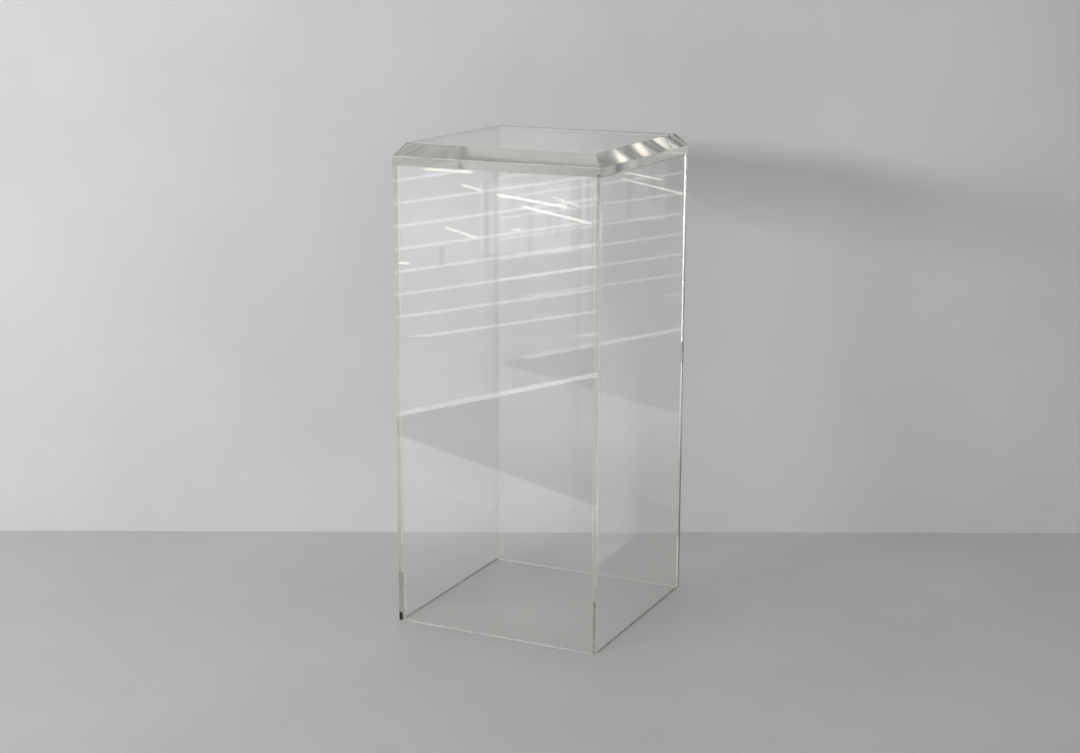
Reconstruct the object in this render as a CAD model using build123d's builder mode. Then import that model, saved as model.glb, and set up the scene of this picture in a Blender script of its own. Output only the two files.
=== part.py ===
from build123d import *
import os

# Display pedestal: a thick bevelled slab on four cemented side sheets, open at the bottom.
# Millimetres. The origin is on the floor under the middle, +Z up, and the front faces -Y.

# Overall sizes
width = 305.0  # along X
depth = 305.0  # along Y
height = 675.0

# Top slab
slab_thickness = 28.6
lip_height = 11.4  # upright band under the bevel
bevel_inset = 13.8  # how far the bevel comes in, seen from above

# Side sheets
wall = 6.35
edge_break = 0.4  # scraped corners of every cut sheet

# Cured cement
film = 0.2  # between two cemented faces
bead_leg = 3.0  # squeezed out along the inner corners
bead_sag = 0.3  # hollow of the bead's face

# Places worked out from the sizes above
slab_bottom = height - slab_thickness
bevel_bottom = slab_bottom + lip_height
sheet_height = slab_bottom - film
side_sheet_length = depth - 2 * (wall + film)
inner_width = width - 2 * wall
inner_depth = depth - 2 * wall
bead_top = sheet_height - bead_leg

os.makedirs("parts", exist_ok=True)


def export_piece(piece, name):
    piece.label = name
    export_step(piece, f"parts/{name}.step")


# Top slab: an upright lip with a straight bevel above it, and its underside edges scraped
with BuildPart() as top_slab:
    with BuildSketch(Plane.XY.offset(slab_bottom)):
        Rectangle(width, depth)
    extrude(amount=lip_height)
    chamfer(top_slab.faces().sort_by(Axis.Z)[0].edges(), edge_break)
    with BuildSketch(Plane.XY.offset(bevel_bottom)):
        Rectangle(width, depth)
    with BuildSketch(Plane.XY.offset(height)):
        Rectangle(width - 2 * bevel_inset, depth - 2 * bevel_inset)
    loft(ruled=True)
export_piece(top_slab.part, "top_slab")

# Front and back sheets: the full width, so their ends show at the sides
for name, outward in (("front_panel", -1), ("back_panel", 1)):
    with BuildPart() as full_sheet:
        with BuildSketch(Plane.XY):
            with Locations((0, outward * (depth - wall) / 2)):
                Rectangle(width, wall)
        extrude(amount=sheet_height)
        outer_face = full_sheet.faces().sort_by(Axis.Y)[0 if outward < 0 else -1]
        foot_face = full_sheet.faces().sort_by(Axis.Z)[0]
        chamfer(outer_face.edges() + (foot_face.edges() - outer_face.edges()), edge_break)
    export_piece(full_sheet.part, name)

# Left and right sheets: between the other two, with a film of cement at each end
for name, outward in (("left_panel", -1), ("right_panel", 1)):
    with BuildPart() as side_sheet:
        with BuildSketch(Plane.XY):
            with Locations((outward * (width - wall) / 2, 0)):
                Rectangle(wall, side_sheet_length)
        extrude(amount=sheet_height)
        outer_face = side_sheet.faces().sort_by(Axis.X)[0 if outward < 0 else -1]
        foot_face = side_sheet.faces().sort_by(Axis.Z)[0]
        chamfer(outer_face.edges() + (foot_face.edges() - outer_face.edges()), edge_break)
    export_piece(side_sheet.part, name)

# Upright cement: a film at the end of a side sheet and a bead in the inner corner beside it
for end, toward_y in (("front", -1), ("back", 1)):
    for side, toward_x in (("left", -1), ("right", 1)):
        corner = Plane(
            origin=(toward_x * inner_width / 2, toward_y * inner_depth / 2, 0),
            x_dir=(-toward_x, 0, 0),
            z_dir=(0, 0, toward_x * toward_y),
        )
        with BuildPart() as upright_cement:
            with BuildSketch(corner) as film_outline:
                with Locations((-wall / 2, film / 2)):
                    Rectangle(wall, film)
            extrude(film_outline.sketch, amount=sheet_height, dir=(0, 0, 1))
            with BuildSketch(corner) as bead_outline:
                with BuildLine():
                    Line((0, bead_leg), (0, 0))
                    Line((0, 0), (bead_leg, 0))
                    SagittaArc((bead_leg, 0), (0, bead_leg), bead_sag)
                make_face()
            extrude(bead_outline.sketch, amount=bead_top, dir=(0, 0, 1))
        export_piece(upright_cement.part, f"{end}_{side}_cement")

# Slab cement: a film on the top edges of the four sheets and a bead under the slab
with BuildPart() as slab_cement:
    with BuildSketch(Plane.XY.offset(bead_top)):
        Rectangle(inner_width, inner_depth)
    extrude(amount=bead_leg)
    with BuildSketch(Plane.XY.offset(sheet_height)):
        Rectangle(width, depth)
    extrude(amount=film)
    with BuildSketch(Plane.XY.offset(bead_top)):
        Rectangle(inner_width, inner_depth)
    with BuildSketch(Plane.XY.offset(slab_bottom)):
        Rectangle(inner_width - 2 * bead_leg, inner_depth - 2 * bead_leg)
    loft(ruled=True, mode=Mode.SUBTRACT)
export_piece(slab_cement.part, "slab_cement")
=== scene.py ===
import math
import bpy
import numpy as np
from mathutils import Matrix, Vector


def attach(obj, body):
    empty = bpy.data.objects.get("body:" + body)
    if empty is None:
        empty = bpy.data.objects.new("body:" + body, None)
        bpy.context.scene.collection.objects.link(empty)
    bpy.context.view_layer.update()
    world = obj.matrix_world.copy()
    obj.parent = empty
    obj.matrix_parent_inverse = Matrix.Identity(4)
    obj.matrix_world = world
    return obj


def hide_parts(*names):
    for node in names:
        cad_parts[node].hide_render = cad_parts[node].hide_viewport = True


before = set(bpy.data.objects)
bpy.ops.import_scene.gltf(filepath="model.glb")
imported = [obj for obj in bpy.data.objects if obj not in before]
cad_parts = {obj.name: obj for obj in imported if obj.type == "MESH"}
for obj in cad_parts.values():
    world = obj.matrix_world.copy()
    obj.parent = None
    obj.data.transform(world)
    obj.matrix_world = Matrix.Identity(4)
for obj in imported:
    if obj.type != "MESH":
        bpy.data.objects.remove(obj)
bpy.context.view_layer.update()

scene = bpy.context.scene

# Sizes repeated from the model, in metres
pedestal = {
    "half": 0.1525,  # half the width and half the depth
    "wall": 0.00635,
    "film": 0.0002,
    "edgeBreak": 0.0004,
    "sheetTop": 0.6462,
    "slabBottom": 0.6464,
    "bevelBottom": 0.6578,
    "bevelInset": 0.0138,
}
half = pedestal["half"]
inner = half - pedestal["wall"]  # half the clear width inside
near = 0.00001  # a face counts as on its plane within this


class Wire:
    # one output of a node, so that sums on it add Math nodes
    def __init__(self, paint, plug):
        self.paint, self.plug = paint, plug

    def maths(self, operation, *values):
        return self.paint.node("ShaderNodeMath", {"operation": operation}, values)

    def __add__(self, other):
        return self.maths("ADD", self, other)

    def __radd__(self, other):
        return self.maths("ADD", other, self)

    def __sub__(self, other):
        return self.maths("SUBTRACT", self, other)

    def __rsub__(self, other):
        return self.maths("SUBTRACT", other, self)

    def __mul__(self, other):
        return self.maths("MULTIPLY", self, other)

    def __truediv__(self, other):
        return self.maths("DIVIDE", self, other)

    def __pow__(self, other):
        return self.maths("POWER", self, other)

    def __gt__(self, other):
        return self.maths("GREATER_THAN", self, other)

    def __lt__(self, other):
        return self.maths("LESS_THAN", self, other)

    def __abs__(self):
        return self.maths("ABSOLUTE", self)

    def either(self, other):
        return self.maths("MAXIMUM", self, other)

    def ramp(self, low, high, start=0.0, end=1.0):  # smooth step from low to high
        return self.paint.node(
            "ShaderNodeMapRange",
            {"interpolation_type": "SMOOTHSTEP"},
            {"Value": self, "From Min": low, "From Max": high, "To Min": start, "To Max": end},
        )


class Paint:
    # a material whose nodes all come from node()
    def __init__(self, name, owner=None):
        self.owner = owner or bpy.data.materials.new(name)
        self.owner.use_nodes = True
        self.tree = self.owner.node_tree
        self.tree.nodes.clear()

    def node(self, kind, settings=None, values=(), out=0):
        made = self.tree.nodes.new(kind)
        for key, value in (settings or {}).items():
            if key == "stops":
                while len(made.color_ramp.elements) < len(value):
                    made.color_ramp.elements.new(1.0)
                for stop, (place, shade) in zip(made.color_ramp.elements, value):
                    stop.position, stop.color = place, shade
            else:
                setattr(made, key, value)
        pairs = values.items() if isinstance(values, dict) else enumerate(values)
        for key, value in pairs:
            if isinstance(value, Wire):
                self.tree.links.new(value.plug, made.inputs[key])
            elif value is not None:
                made.inputs[key].default_value = value
        return Wire(self, made.outputs[out]) if len(made.outputs) else made

    def place(self):  # the part's own coordinates in metres, together and as x, y and z
        at = self.node("ShaderNodeTexCoord", out="Object")
        parts = self.node("ShaderNodeSeparateXYZ", None, [at]).plug.node
        return at, *[Wire(self, plug) for plug in parts.outputs]

    def noise(self, at, scale, detail=2.0, rough=0.5, warp=0.0, stretch=None):
        if stretch is not None:
            turn, scales = stretch
            at = self.node("ShaderNodeMapping", None, {"Vector": at, "Rotation": turn, "Scale": scales})
        return self.node(
            "ShaderNodeTexNoise",
            {"noise_dimensions": "3D"},
            {"Vector": at, "Scale": scale, "Detail": detail, "Roughness": rough, "Distortion": warp},
        )

    def blend(self, share, first, second):
        return self.node("ShaderNodeMixShader", None, [share, first, second])

    def tint(self, share, first, second):
        first, second = [(*colour, 1) if isinstance(colour, tuple) else colour for colour in (first, second)]
        values = {0: share, 6: first, 7: second}  # the colour sockets of a Mix node
        return self.node("ShaderNodeMix", {"data_type": "RGBA"}, values, out=2)

    def ray(self, kind):  # what sort of ray has met the surface
        return Wire(self, self.node("ShaderNodeLightPath").plug.node.outputs[kind])

    def backfacing(self):
        return Wire(self, self.node("ShaderNodeNewGeometry").plug.node.outputs["Backfacing"])

    def show(self, surface):
        self.node("ShaderNodeOutputMaterial", None, {"Surface": surface})
        return self.owner


# Clear acrylic sheet
acrylic = {
    "tint": (0.993, 0.995, 0.992),
    "slabTint": (0.984, 0.988, 0.974),
    "edgeTint": (0.955, 0.962, 0.915),
    "sheetShade": (0.995, 0.996, 0.993),  # what a face lets through to a lamp
    "rimStop": 0.5,  # how much of the light the slab's bevel and lip turn aside
    # dark colour of the dust specks, of the painted shade along the side sheets' feet and of the dark patch
    # under the slab's corner
    "dirtAndShade": (0.10, 0.098, 0.09),
    "ior": 1.49,
    "farEndShade": (0.09, 0.092, 0.086),  # painted shade: the back sheet's right end is darkened, so the light piped along the sheet comes out dimmer there
    "wave": 0.00005,  # depth of the sheet's slow waviness
    "slabWave": 0.000004,
    "scratchTurns": (0.35, 1.25),  # directions of the two sets of fine scratches
    "scratchWidth": 0.006,
    "handled": (0.52, 0.68),  # noise above this is where hands and cloths have been
    "rough": (0.001, 0.004, 0.02),  # untouched, added where handled, and added along a scratch
    "rimRough": (0.05, 0.2),  # sawn and scraped edges, and how much their grain adds
}
# dark marks and specks, with the painted shade along the side sheets' feet and the painted highlight on the
# slab's arris
wearAndPaintedLight = {
    "dabColour": (0.012, 0.011, 0.01),
    "dabTop": 0.0115,
    "dabRight": -0.1480,
    "speckSize": 0.013,
    "speckShare": 0.45,
    "speckStrength": 0.7,
    # heights where the painted shade at a side sheet's foot fades out
    "footShadeEdge": (0.0016, 0.0024),
    "darkCornerRise": 0.0055,  # above the slab's underside
    "darkCornerReach": 0.1462,  # both ways from the middle
    "darkCornerStrength": 0.6,
    # colour and width of the painted highlight along the slab's arris
    "arrisHighlightColour": (0.86, 0.86, 0.82),
    "arrisHighlightWidth": (0.0003, 0.0008),
}


def letLampsThrough(paint, surface, tint, stop=0.0):
    # rays from lamps, and from what the sheet lights, pass straight on, less what each face mirrors
    through = paint.node("ShaderNodeBsdfTransparent", None, {"Color": (*tint, 1)})
    stopped = paint.node("ShaderNodeBsdfTransparent", None, {"Color": (0, 0, 0, 1)})
    slant = paint.node("ShaderNodeLayerWeight", None, {"Blend": 0.5}, out="Facing")
    passed = paint.blend((0.015 + slant ** 5 * 0.7).either(stop), through, stopped)
    surface = paint.blend(paint.ray("Is Diffuse Ray"), surface, passed)
    return paint.blend(paint.ray("Is Shadow Ray"), surface, passed)


def clearAcrylic(name, bonded, edges, tint=acrylic["tint"], marks=(), stop=0.0):
    # bonded, and the first of each pair in edges and marks, are functions that say where it applies;
    # stop is the share of a lamp's light that the last of the edges holds back
    paint = Paint(name)
    at, x, y, z = paint.place()
    slow = paint.noise(at, 5.5, 1.0, 0.4)
    cloud = paint.noise(at, 14.0, 3.0, 0.55)
    hairs = [
        paint.noise(at, 60.0, 1.0, 0.5, 0.25, ((0.3, 0.2, turn), (1.0, 0.035, 1.0)))
        for turn in acrylic["scratchTurns"]
    ]
    lines = [abs(hair - 0.5).ramp(0.0, acrylic["scratchWidth"], 1.0, 0.0) for hair in hairs]
    handled = cloud.ramp(*acrylic["handled"])
    untouchedRough, handledRough, lineRough = acrylic["rough"]
    rough = untouchedRough + handled * handledRough + lines[0].either(lines[1]) * handled * lineRough
    grain = paint.noise(at, 900.0, 2.0, 0.6)
    sawn, sawnGrain = acrylic["rimRough"]
    colour = tint
    for edge, shade in edges:
        rim = edge(x, y, z)
        rough = rough + rim * (sawn + grain * sawnGrain)
        colour = paint.tint(rim, colour, shade)
    wave = acrylic["slabWave"] if stop else acrylic["wave"]
    swell = paint.node("ShaderNodeBump", None, {"Strength": 1.0, "Distance": wave, "Height": slow})
    looks = {"Base Color": colour, "Roughness": rough, "Transmission Weight": 1.0, "Normal": swell}
    clear = paint.node("ShaderNodeBsdfPrincipled", None, {**looks, "IOR": acrylic["ior"]})
    joined = paint.node("ShaderNodeBsdfTransparent", None, {"Color": (1, 1, 1, 1)})
    voids = paint.noise(at, 420.0, 2.0, 0.6).ramp(0.75, 0.77)
    surface = paint.blend(bonded(x, y, z) * (1 - voids), clear, joined)
    for mark, shade in (*marks, (dustSpecks, acrylic["dirtAndShade"])):
        # the marks' surface: dust and dark marks, painted shade and a painted highlight
        markLook = paint.node("ShaderNodeBsdfPrincipled", None, {"Base Color": (*shade, 1), "Roughness": 0.6})
        surface = paint.blend(mark(paint, at, x, y, z), surface, markLook)
    return paint.show(letLampsThrough(paint, surface, acrylic["sheetShade"], rim * stop))


def topBonded(z):
    return z > pedestal["sheetTop"] - near


def fullSheetBonded(x, y, z):  # the upper edge, and a strip at each end of the inner face
    strip = (abs(x) > inner) * (abs(x) < half - pedestal["edgeBreak"]) * (abs(y) < inner + near)
    return topBonded(z).either(strip)


def sideSheetBonded(x, y, z):  # the upper edge and both ends
    return topBonded(z).either(abs(y) > inner - pedestal["film"] - near)


def slabBonded(x, y, z):  # the ring of the underside that stands on the sheets
    return (z < pedestal["slabBottom"] + near) * (abs(x).either(abs(y)) > inner)


def slabRim(x, y, z):  # the bevel and the lip
    bevelStart = half - pedestal["bevelInset"]
    outside = abs(x).either(abs(y)).ramp(bevelStart - 0.0001, bevelStart + 0.0001)
    return outside * (z > pedestal["slabBottom"] + near)


def footRim(x, y, z):  # the scraped lower edge
    return z.ramp(pedestal["edgeBreak"], pedestal["edgeBreak"] + 0.0002, 1.0, 0.0)


def rightEnd(x, y, z):
    return x > half - near


def dustSpecks(paint, at, x, y, z):  # a few specks, a millimetre or so across
    cell = paint.node("ShaderNodeTexVoronoi", {"feature": "F1"}, {"Vector": at, "Scale": 16.0})
    kept = paint.node("ShaderNodeSeparateColor", None, [Wire(paint, cell.plug.node.outputs["Color"])])
    return (cell < wearAndPaintedLight["speckSize"]) * (kept > wearAndPaintedLight["speckShare"]) * wearAndPaintedLight["speckStrength"]


def cornerDab(paint, at, x, y, z):  # dark mark low on the front left corner
    ragged = paint.noise(at, 500.0, 2.0, 0.5) * 0.0022
    low = (z + ragged) < wearAndPaintedLight["dabTop"]
    return low * ((x + ragged) < wearAndPaintedLight["dabRight"]) * (y < -inner + near)


def footShade(paint, at, x, y, z):  # painted shade: a dark, patchy line where a side sheet stands on the floor, in place of its contact shadow
    patchy = paint.noise(at, 60.0, 3.0, 0.6).ramp(0.3, 0.6, 0.25, 0.5)
    return z.ramp(*wearAndPaintedLight["footShadeEdge"], 1.0, 0.0) * patchy


def darkSlabCorner(paint, at, x, y, z):  # dark, ragged patch under the slab's front right corner
    ragged = paint.noise(at, 420.0, 3.0, 0.6) * 0.005
    low = (z + ragged) < pedestal["slabBottom"] + wearAndPaintedLight["darkCornerRise"]
    cornered = ((x - ragged) > wearAndPaintedLight["darkCornerReach"]) * ((y + ragged) < -wearAndPaintedLight["darkCornerReach"])
    return low * cornered * wearAndPaintedLight["darkCornerStrength"]


def arrisHighlight(paint, at, x, y, z):  # painted highlight: a pale, patchy line along the arris between bevel and lip
    patchy = paint.noise(at, 35.0, 3.0, 0.6).ramp(0.35, 0.65, 0.25, 0.6)
    return abs(z - pedestal["bevelBottom"]).ramp(*wearAndPaintedLight["arrisHighlightWidth"], 1.0, 0.0) * patchy


foot = (footRim, acrylic["edgeTint"])
lookFront = clearAcrylic("acrylic_front", fullSheetBonded, [foot], marks=[(cornerDab, wearAndPaintedLight["dabColour"])])
# the back sheet's right end carries painted shade
lookBack = clearAcrylic("acrylic_back", fullSheetBonded, [foot, (rightEnd, acrylic["farEndShade"])])
# the side sheets carry painted shade along their feet
lookSide = clearAcrylic("acrylic_side", sideSheetBonded, [foot], marks=[(footShade, acrylic["dirtAndShade"])])
lookSlab = clearAcrylic(
    "acrylic_slab",
    slabBonded,
    [(slabRim, acrylic["edgeTint"])],
    tint=acrylic["slabTint"],
    marks=[(arrisHighlight, wearAndPaintedLight["arrisHighlightColour"]), (darkSlabCorner, acrylic["dirtAndShade"])],
    stop=acrylic["rimStop"],
)
for node, look in (
    ("front_panel", lookFront),
    ("back_panel", lookBack),
    ("left_panel", lookSide),
    ("right_panel", lookSide),
    ("top_slab", lookSlab),
):
    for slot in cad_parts[node].material_slots:
        slot.material = look
print("acrylic on the slab and four sheets")


# Cured cement
cement = {
    "gap": 0.00002,  # kept clear of the acrylic
    "rings": 420,  # outlines up an upright bead
    "slabRings": 360,
    "steps": 7,  # points across a bead
    "filmFaces": (0.00005, 0.00015),  # from the sheet's end
    "topGap": 0.0006,
    "flare": 0.7,  # how much wider an upright bead gets at the top
    "bubbles": 30,
    "bubbleSize": (0.0001, 0.00028),
    "bubblePoints": (8, 6),  # around and from pole to pole
    "slabDown": (0.0012, 0.0032),
    "slabInward": (0.0012, 0.0036),
    "shade": ((0.86, 0.865, 0.82), (0.92, 0.925, 0.90)),
    "haze": (0.07, 0.15),
    "bump": 0.00004,
}


def curedCement(name):
    paint = Paint(name)
    at, x, y, z = paint.place()
    milk = paint.noise(at, 70.0, 3.0, 0.6, stretch=((0, 0, 0), (1, 1, 0.2)))
    pits = paint.node("ShaderNodeTexVoronoi", {"feature": "F1"}, {"Vector": at, "Scale": 900.0})
    colour = paint.tint(milk.ramp(0.35, 0.7), *cement["shade"])
    relief = milk * 0.6 + pits * 0.4
    bump = paint.node("ShaderNodeBump", None, {"Strength": 0.4, "Distance": cement["bump"], "Height": relief})
    body = paint.node(
        "ShaderNodeBsdfPrincipled",
        None,
        {"Base Color": colour, "Roughness": 0.12 + milk * 0.25, "IOR": acrylic["ior"], "Normal": bump},
    )
    through = paint.node("ShaderNodeBsdfTransparent", None, {"Color": (0.985, 0.985, 0.97, 1)})
    surface = paint.blend(milk.ramp(0.3, 0.75, *cement["haze"]), through, body)
    surface = paint.blend(paint.ray("Is Diffuse Ray"), surface, through)
    return paint.show(paint.blend(paint.ray("Is Shadow Ray"), surface, through))


def wander(places, seed, least, most, lengths=(0.83, 0.37, 0.17)):
    # a reach that wanders with place: a sum of sines of ever shorter wavelength, with phases from the seed
    rng = np.random.default_rng(seed)
    total = np.zeros_like(places)
    for size, length in zip((0.5, 0.32, 0.18), lengths):
        total += size * np.sin(2 * np.pi * places / length + rng.uniform(0, 2 * np.pi))
    return least + (most - least) * (0.5 + 0.5 * total)


def gridFaces(rows, columns, start, flip=False):
    # quads of a grid whose columns close into a ring
    r, c = np.meshgrid(np.arange(rows - 1), np.arange(columns), indexing="ij")
    a = start + r * columns + c
    b = start + r * columns + (c + 1) % columns
    quads = np.stack([a, b, b + columns, a + columns], -1).reshape(-1, 4)
    return quads[:, ::-1] if flip else quads


def ringEnds(rows, columns, start, flip=False):
    # one face for each end of the grid
    first = np.arange(start, start + columns)[::-1]
    last = np.arange(start + (rows - 1) * columns, start + rows * columns)
    return [ring[::-1].tolist() if flip else ring.tolist() for ring in (first, last)]


def cementPiece(node, name, parts):
    # parts is a list of (points, faces) and all of it becomes one object at the origin, in the node's place
    points, faces, offset = [], [], 0
    for corners, quads in parts:
        points.append(corners.reshape(-1, 3))
        faces += [[int(i) + offset for i in quad] for quad in quads]
        offset += len(points[-1])
    data = bpy.data.meshes.new(name)
    data.from_pydata(np.concatenate(points).tolist(), [], faces)
    data.materials.append(lookCement)
    data.polygons.foreach_set("use_smooth", np.full(len(data.polygons), True))
    data.update()
    piece = bpy.data.objects.new(name, data)
    scene.collection.objects.link(piece)
    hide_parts(node)
    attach(piece, "root")


def boxPart(low, high):
    x, y, z = zip(low, high)
    points = np.array([(x[i], y[j], z[k]) for k in (0, 1) for j in (0, 1) for i in (0, 1)])
    return points, [(0, 2, 3, 1), (4, 5, 7, 6), (0, 1, 5, 4), (2, 6, 7, 3), (0, 4, 6, 2), (1, 3, 7, 5)]


def bubbleParts(centres, sizes):
    # ellipsoids: centre + size (sin v cos u, sin v sin u, -1.4 cos v)
    parts = []
    around, rise = cement["bubblePoints"]
    v = np.linspace(0, np.pi, rise + 1)[1:-1]
    u = np.linspace(0, 2 * np.pi, around, endpoint=False)
    vv, uu = np.meshgrid(v, u, indexing="ij")
    ball = np.stack([np.sin(vv) * np.cos(uu), np.sin(vv) * np.sin(uu), -1.4 * np.cos(vv)], -1)
    for centre, size in zip(centres, sizes):
        points = centre + size * ball
        parts.append((points, list(gridFaces(len(v), around, 0)) + ringEnds(len(v), around, 0)))
    return parts


def uprightCement(name, towardX, towardY, seed, reachX, reachY):
    # bead: x = a(z) (1 - sin t), y = b(z) (1 - cos t) from the inner corner, t from 0 to a quarter turn
    rows, steps, gap = cement["rings"], cement["steps"], cement["gap"]
    top = pedestal["sheetTop"] - cement["topGap"]
    z = np.linspace(pedestal["edgeBreak"], top, rows)
    a = wander(z, seed, *reachX) * (1 + cement["flare"] * (z / top) ** 3)
    b = wander(z, seed + 1, *reachY)
    t = np.linspace(0, np.pi / 2, steps)
    across = a[:, None] * (1 - np.sin(t))[None, :]
    along = b[:, None] * (1 - np.cos(t))[None, :]
    corner = np.zeros((rows, 1))
    across = np.concatenate([corner, across], 1) + gap
    along = np.concatenate([corner, along], 1) + gap
    points = np.stack(
        [towardX * (inner - across), towardY * (inner - along), np.repeat(z[:, None], steps + 1, 1)], -1
    )
    flip = towardX * towardY < 0
    bead = (points, list(gridFaces(rows, steps + 1, 0, flip)) + ringEnds(rows, steps + 1, 0, flip))
    xs = sorted((towardX * (inner + gap), towardX * (half - gap)))
    ys = sorted(towardY * (inner - face) for face in cement["filmFaces"])
    film = boxPart((xs[0], ys[0], 0.0002), (xs[1], ys[1], pedestal["sheetTop"] - 0.0002))
    rng = np.random.default_rng(seed + 2)
    spots = rng.uniform(0.02, 0.98, cement["bubbles"])
    rowsAt = (spots * (rows - 1)).astype(int)
    depth = rng.uniform(0.15, 0.3, (2, cement["bubbles"]))
    centres = np.stack(
        [
            towardX * (inner - gap - a[rowsAt] * depth[0]),
            towardY * (inner - gap - b[rowsAt] * depth[1]),
            z[rowsAt],
        ],
        -1,
    )
    sizes = rng.uniform(*cement["bubbleSize"], cement["bubbles"])
    cementPiece(name, name.replace("_cement", "_bead"), [bead, film] + bubbleParts(centres, sizes))


def slabCement(name, seed):
    # bead: down = a(s) (1 - sin t), in = b(s) (1 - cos t) under the slab, s along the inner square
    rows, steps, gap = cement["slabRings"], cement["steps"], cement["gap"]
    s = np.arange(rows) / rows * 4
    side, share = s.astype(int) % 4, s % 1.0
    lengths = (1, 0.333333, 0.142857)  # so that the bead closes on itself
    a = wander(s, seed, *cement["slabDown"], lengths)
    b = wander(s, seed + 1, *cement["slabInward"], lengths)
    t = np.linspace(0, np.pi / 2, steps)
    down = np.concatenate([np.zeros((rows, 1)), a[:, None] * (1 - np.sin(t))[None, :]], 1) + gap
    inward = np.concatenate([np.zeros((rows, 1)), b[:, None] * (1 - np.cos(t))[None, :]], 1) + gap
    reach = inner - inward
    run = (2 * share - 1)[:, None] * reach
    x = np.choose(side[:, None], [run, reach, -run, -reach])
    y = np.choose(side[:, None], [-reach, run, reach, -run])
    z = pedestal["slabBottom"] - down
    points = np.stack([x, y, z], -1)
    columns = steps + 1
    r, c = np.meshgrid(np.arange(rows), np.arange(columns), indexing="ij")
    following, beside = (r + 1) % rows, (c + 1) % columns
    quads = np.stack(
        [r * columns + c, following * columns + c, following * columns + beside, r * columns + beside], -1
    ).reshape(-1, 4)
    parts = [(points, quads)]
    film = [pedestal["sheetTop"] + face for face in cement["filmFaces"]]
    for low, high in (
        ((-half + gap, -half + gap), (half - gap, -inner - gap)),
        ((-half + gap, inner + gap), (half - gap, half - gap)),
        ((-half + gap, -inner), (-inner - gap, inner)),
        ((inner + gap, -inner), (half - gap, inner)),
    ):
        parts.append(boxPart((*low, film[0]), (*high, film[1])))
    cementPiece(name, name + "_bead", parts)


lookCement = curedCement("cured_cement")
uprightCement("front_left_cement", -1, -1, 11, (0.0025, 0.0027), (0.0012, 0.0013))
uprightCement("front_right_cement", 1, -1, 23, (0.0031, 0.0033), (0.0011, 0.0012))
uprightCement("back_left_cement", -1, 1, 37, (0.0015, 0.0017), (0.0013, 0.0014))
uprightCement("back_right_cement", 1, 1, 41, (0.0016, 0.0018), (0.0013, 0.0014))
slabCement("slab_cement", 53)
print("cement beads and films in five joints")


# The camera, as the photograph was taken
view = {
    "place": (1.10225, -2.29474, 0.93820),
    "heading": (-0.434665, 0.900592, 0.0),
    "tilt": 13.256,  # degrees down
    "roll": 0.13,
    "lens": 61.6,
    "backdrop": 2.878,  # from the camera to the backdrop, level
}
heading = Vector(view["heading"])
sideways = Vector((heading.y, -heading.x, 0))
tilt = math.radians(view["tilt"])
forward = heading * math.cos(tilt) - Vector((0, 0, math.sin(tilt)))
upward = sideways.cross(forward)
turned = Matrix((sideways, upward, -forward)).transposed()
camera = bpy.data.objects.new("camera", bpy.data.cameras.new("camera"))
camera.data.lens, camera.data.sensor_width, camera.data.clip_start = view["lens"], 36, 0.01
camera.matrix_world = Matrix.Translation(view["place"]) @ (
    Matrix.Rotation(-math.radians(view["roll"]), 3, forward) @ turned
).to_4x4()
scene.collection.objects.link(camera)
scene.camera = camera


# The studio: floor, backdrop and a soft light from one side
studio = {
    "floorColour": (0.60, 0.60, 0.59),
    "wallColour": (0.70, 0.70, 0.70),
    "floorGap": 0.0004,
    "fill": 0.385,
    "keyPower": 81.0,
    "keyPlace": (-1.5, -3.3, 1.3),
    "keyAim": (0.1, 0.1, 0.45),
    "keySize": (1.2, 0.45),
}


def plaster(name, colour, rough=0.85, oneSided=False):
    paint = Paint(name)
    at, x, y, z = paint.place()
    mottle = paint.noise(at, 2.2, 4.0, 0.55)
    fine = paint.noise(at, 40.0, 4.0, 0.6)
    darker, paler = tuple(0.96 * c for c in colour), tuple(1.04 * c for c in colour)
    shade = paint.tint(mottle.ramp(0.3, 0.7), darker, paler)
    bump = paint.node("ShaderNodeBump", None, {"Strength": 0.25, "Distance": 0.001, "Height": fine})
    looks = {"Base Color": shade, "Roughness": rough, "Normal": bump}
    surface = paint.node("ShaderNodeBsdfPrincipled", None, looks)
    if oneSided:
        surface = paint.blend(paint.backfacing(), surface, paint.node("ShaderNodeBsdfTransparent"))
    return paint.show(surface)


def card(name, centre, across, rise, look):
    # corners: centre plus or minus across, plus or minus rise; it faces along their cross product
    centre, across, rise = map(Vector, (centre, across, rise))
    corners = [centre + i * across + j * rise for i, j in ((-1, -1), (1, -1), (1, 1), (-1, 1))]
    data = bpy.data.meshes.new(name)
    data.from_pydata(corners, [], [(0, 1, 2, 3)])
    data.materials.append(look)
    made = bpy.data.objects.new(name, data)
    scene.collection.objects.link(made)
    return made


floorLook = plaster("floor_plain", studio["floorColour"], 0.42)
card("floor", (0, 0, -studio["floorGap"]), (8, 0, 0), (0, 8, 0), floorLook)
wallPlace = Vector(view["place"]) + heading * view["backdrop"]
wallLook = plaster("backdrop_plain", studio["wallColour"], oneSided=True)
card("backdrop", (wallPlace.x, wallPlace.y, 1.5), sideways * 4, (0, 0, 1.51), wallLook)

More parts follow.
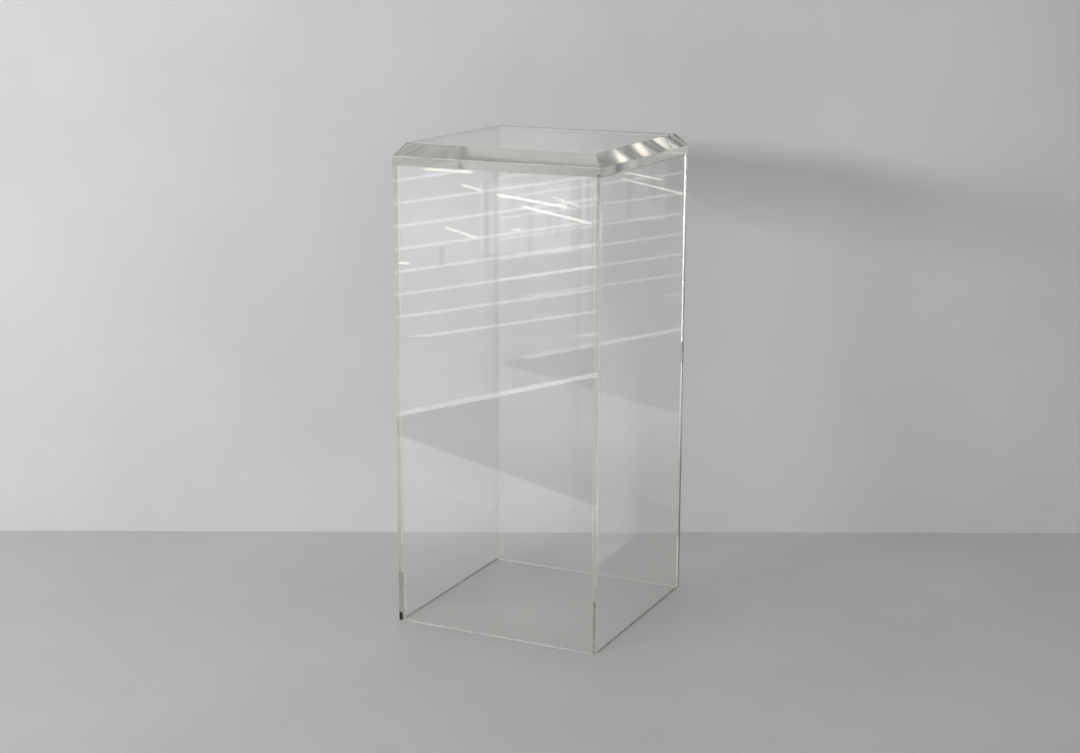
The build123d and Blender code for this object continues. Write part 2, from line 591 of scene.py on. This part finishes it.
# What the sheets mirror: an upright screen, the floor in front of it and a window, seen only mirrored
screen = {
    "facing": (-0.457, -0.889, 0.0),  # from the pedestal to the screen
    "away": 2.13,
    "reach": (-0.7, 1.1),  # ends along the screen, from the point that faces the pedestal
    "rise": (0.0, 0.8),
    "field": (1.4, 2.3),  # glow at the foot and from 0.2 m up
    "fieldRight": 0.3,  # share that is left on the right
    "fieldTurn": (0.02, 0.12),  # where the glow falls off along the screen
    "slats": (0.349, 0.0553, 0.14),  # height of the first, step down, slope
    "slatEdge": (0.04, 0.09),  # half a slat's width and where it has faded, in steps
    "slatTop": 0.09,  # above the first
    "slatGlow": 1.7,
    "panes": (0.035, 0.252, 0.205, 0.375),  # left, right, low, high
    "paneGlow": 0.8,
    "postEdge": (0.005, 0.008),
    "postShade": 0.45,
    "posts": ((-0.058, 0.17, 0.22), (0.05, 0.195, 0.38), (0.155, 0.205, 0.37), (0.222, 0.245, 0.33)),
    "lamps": (  # each from one end to the other, along and up the screen
        (-0.008, 0.373, 0.037, 0.359),
        (0.075, 0.349, 0.243, 0.318),
        (0.135, 0.320, 0.300, 0.279),
        (-0.047, 0.270, 0.029, 0.243),
        (-0.160, 0.184, -0.135, 0.183),
        (-0.095, 0.410, 0.015, 0.402),
    ),
    "lampGlow": 7.5,
    "lampHeight": 0.0026,
}
sideGlow = {
    "x": 0.30,
    "y": (-0.25, 0.40),
    "flat": (0.0, 0.25),  # full strength between these
    "rise": (0.0, 0.55),
    "fadeUp": (0.25, 0.5, 1.0, 0.35),  # heights, and the share at each
    "glow": 0.62,
}
window = {
    "place": (-1.75, -2.5, 1.82),  # where the light in the slab's right bevel comes from
    "aim": (-0.14, 0.04, 0.665),
    "size": (1.0, 0.8),
    "glow": (1.2, 2.2),  # between and in the patches
    "colour": (1.0, 0.94, 0.84, 1),
}
apron = {
    "depth": (0.27, 2.12),  # from the pedestal towards the screen
    "reach": (-0.75, 0.85),
    "strip": ((-0.745, -1.14), (-0.50, -1.70)),  # pale line on the floor
    "stripWidth": 0.016,
    "stripGlow": 2.8,
    "shadeEdge": ((-0.65, -1.015), (-0.135, -0.772)),  # where the shade nearer the pedestal begins
    "glow": (1.5, 0.4, 1.5),  # near the pedestal, in the shade, and beyond the strip
}
coolWhite = (0.965, 0.98, 1.0, 1)


def screenLook():
    # a pale screen with evenly spaced sloping slats, brighter panes and narrow posts
    paint = Paint("screen_glow")
    at, x, y, z = paint.place()
    along = x * -screen["facing"][1] + y * screen["facing"][0]
    first, step, slope = screen["slats"]
    level = (first - z + along * slope) / step
    off = abs(paint.node("ShaderNodeMath", {"operation": "FRACT"}, [level + 0.5]) - 0.5)
    slat = off.ramp(*screen["slatEdge"], 1.0, 0.0) * (z < first + screen["slatTop"])
    left, right, low, high = screen["panes"]
    pane = (along > left) * (along < right) * (z > low) * (z < high)
    post = 0.0
    for middle, bottom, head in screen["posts"]:
        post = abs(along - middle).ramp(*screen["postEdge"], 1.0, 0.0) * (z > bottom) * (z < head) + post
    patch = paint.noise(at, 6.0, 2.0, 0.5).ramp(0.35, 0.65, 0.85, 1.12)
    field = z.ramp(0.0, 0.2, *screen["field"]) * along.ramp(*screen["fieldTurn"], 1.0, screen["fieldRight"])
    glow = (patch * field + pane * screen["paneGlow"]) * (1 - post * screen["postShade"])
    glow = glow + slat * screen["slatGlow"]
    return mirrorGlow(paint, coolWhite, glow)


def beyond(x, y, line):  # distance past a line on the floor, going away from the pedestal
    (startX, startY), (endX, endY) = line
    run = math.hypot(endX - startX, endY - startY)
    acrossX, acrossY = (endY - startY) / run, (startX - endX) / run
    if startX * acrossX + startY * acrossY < 0:
        acrossX, acrossY = -acrossX, -acrossY
    return (x - startX) * acrossX + (y - startY) * acrossY


def apronLook():
    paint = Paint("apron_glow")
    at, x, y, z = paint.place()
    nearGlow, shadeGlow, farGlow = apron["glow"]
    pastStrip, pastShade = beyond(x, y, apron["strip"]), beyond(x, y, apron["shadeEdge"])
    along = x * -screen["facing"][1] + y * screen["facing"][0]
    far = along.ramp(*screen["fieldTurn"], farGlow, farGlow * screen["fieldRight"])
    glow = shadeGlow + pastStrip.ramp(-0.01, 0.01) * (far - shadeGlow)
    glow = glow + pastShade.ramp(-0.004, 0.004, 1.0, 0.0) * (nearGlow - glow)
    patch = paint.noise(at, 4.0, 2.0, 0.5).ramp(0.35, 0.65, 0.92, 1.08)
    nearest = apron["depth"][0]
    away = x * screen["facing"][0] + y * screen["facing"][1]
    return mirrorGlow(paint, coolWhite, glow * patch * away.ramp(nearest, 3 * nearest, 0.3, 1.0))


def sideLook():  # soft patch that fades out towards its borders
    paint = Paint("side_glow")
    at, x, y, z = paint.place()
    (start, end), (fullFrom, fullTo) = sideGlow["y"], sideGlow["flat"]
    fade = y.ramp(start, fullFrom) * y.ramp(fullTo, end, 1.0, 0.0) * z.ramp(*sideGlow["fadeUp"])
    return mirrorGlow(paint, coolWhite, sideGlow["glow"], 1 - fade)


def mirrorGlow(paint, colour, strength, bare=0.0):
    # seen from the card's front only, after at least one reflection, and not where it is bare
    glow = paint.node("ShaderNodeEmission", None, {"Color": colour, "Strength": strength})
    hidden = paint.backfacing().either(paint.ray("Glossy Depth") < 0.5).either(bare)
    return paint.show(paint.blend(hidden, glow, paint.node("ShaderNodeBsdfTransparent")))


def glowLook(name, colour, strength):
    return mirrorGlow(Paint(name), colour, strength)


def windowLook():  # a window high up, in warm patches
    paint = Paint("window_glow")
    at, x, y, z = paint.place()
    patch = paint.noise(at, 3.2, 1.0, 0.4).ramp(0.42, 0.58, *window["glow"])
    return mirrorGlow(paint, window["colour"], patch)


def middleAndReach(ends):  # the middle of two ends, and how far each is from it
    return sum(ends) / 2, (ends[1] - ends[0]) / 2


facing = Vector(screen["facing"]).normalized()
screenAlong = Vector((-facing.y, facing.x, 0))
screenFoot = facing * screen["away"]
mirrored = []
middle, width = middleAndReach(screen["reach"])
level, tall = middleAndReach(screen["rise"])
screenMiddle = screenFoot + screenAlong * middle + Vector((0, 0, level))
mirrored.append(card("screen", screenMiddle, screenAlong * -width, (0, 0, tall), screenLook()))
middle, width = middleAndReach(apron["reach"])
away, deep = middleAndReach(apron["depth"])
apronMiddle = facing * away + screenAlong * middle + Vector((0, 0, 0.001))
mirrored.append(card("apron", apronMiddle, screenAlong * width, facing * -deep, apronLook()))
stripStart, stripEnd = [Vector((*end, 0.002)) for end in apron["strip"]]
stripRun = stripEnd - stripStart
mirrored.append(card(
    "strip",
    (stripStart + stripEnd) / 2,
    stripRun / 2,
    Vector((0, 0, 1)).cross(stripRun.normalized()) * apron["stripWidth"],
    glowLook("strip_glow", coolWhite, apron["stripGlow"]),
))
lampLook = glowLook("lamp_glow", (1, 0.95, 0.86, 1), screen["lampGlow"])
lampFoot = screenFoot - facing * 0.01
for number, (startU, startZ, endU, endZ) in enumerate(screen["lamps"]):
    start = lampFoot + screenAlong * startU + Vector((0, 0, startZ))
    end = lampFoot + screenAlong * endU + Vector((0, 0, endZ))
    lampRise = (0, 0, screen["lampHeight"])
    mirrored.append(card(f"lamp_{number}", (start + end) / 2, (start - end) / 2, lampRise, lampLook))
middle, width = middleAndReach(sideGlow["y"])
level, tall = middleAndReach(sideGlow["rise"])
mirrored.append(card("side", (sideGlow["x"], middle, level), (0, -width, 0), (0, 0, tall), sideLook()))
windowPlace = Vector(window["place"])
toSlab = (Vector(window["aim"]) - windowPlace).normalized()
windowSide = toSlab.cross(Vector((0, 0, 1))).normalized() * window["size"][0] / 2
windowRise = windowSide.cross(toSlab).normalized() * window["size"][1] / 2
mirrored.append(card("window", windowPlace, -windowSide, windowRise, windowLook()))
for thing in mirrored:
    thing.visible_camera = thing.visible_diffuse = thing.visible_shadow = False

world = bpy.data.worlds.new("studio")
scene.world = world
air = Paint("studio", world)
sky = air.node("ShaderNodeBackground", None, {"Color": (1.0, 0.995, 0.985, 1), "Strength": studio["fill"]})
air.node("ShaderNodeOutputWorld", None, {"Surface": sky})

key = bpy.data.lights.new("key", "AREA")
key.shape, key.energy = "RECTANGLE", studio["keyPower"]
key.size, key.size_y = studio["keySize"]
keyLight = bpy.data.objects.new("key", key)
keyLight.location = studio["keyPlace"]
toAim = Vector(studio["keyAim"]) - keyLight.location
keyLight.rotation_euler = toAim.to_track_quat("-Z", "Y").to_euler()
keyLight.visible_glossy = keyLight.visible_transmission = False  # its image would burn out in the bevels
scene.collection.objects.link(keyLight)

scene.view_settings.view_transform = "Standard"
scene.cycles.max_bounces = 64
scene.cycles.glossy_bounces = 64
scene.cycles.transmission_bounces = 64
scene.cycles.transparent_max_bounces = 64
scene.cycles.diffuse_bounces = 4
scene.cycles.caustics_reflective = False
scene.cycles.caustics_refractive = False
print("studio ready")
